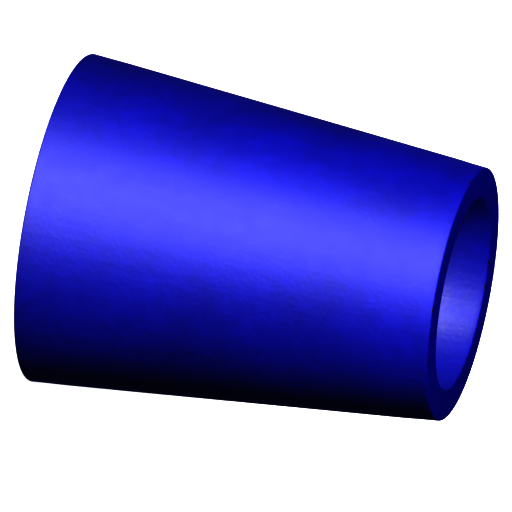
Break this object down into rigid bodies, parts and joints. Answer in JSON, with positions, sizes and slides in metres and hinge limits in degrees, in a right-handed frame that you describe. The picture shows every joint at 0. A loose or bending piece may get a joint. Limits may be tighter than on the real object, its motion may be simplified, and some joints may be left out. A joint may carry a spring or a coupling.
{
  "type": "eccentric reducer",
  "caption": "Heavy-wall eccentric pipe reducer: a straight-sided tapered tube with square ends, a straight side and an open bore, painted blue.",
  "frame": {"origin": "centre of the large end's face, which the reducer stands on", "axes": "+Z along the pipe from the large end to the small end, -Y towards the straight side, X across the two seams"},
  "size_m": [0.219, 0.2189, 0.2794],
  "materials": {
    "painted_plate": "semi-gloss blue enamel on pressed steel plate",
    "painted_weld": "semi-gloss blue enamel on dressed weld metal"
  },
  "bodies": {
    "root": {"straight_half_shell": "painted_plate", "sloped_half_shell": "painted_plate", "left_seam_weld": "painted_weld", "right_seam_weld": "painted_weld"}
  },
  "joints": []
}
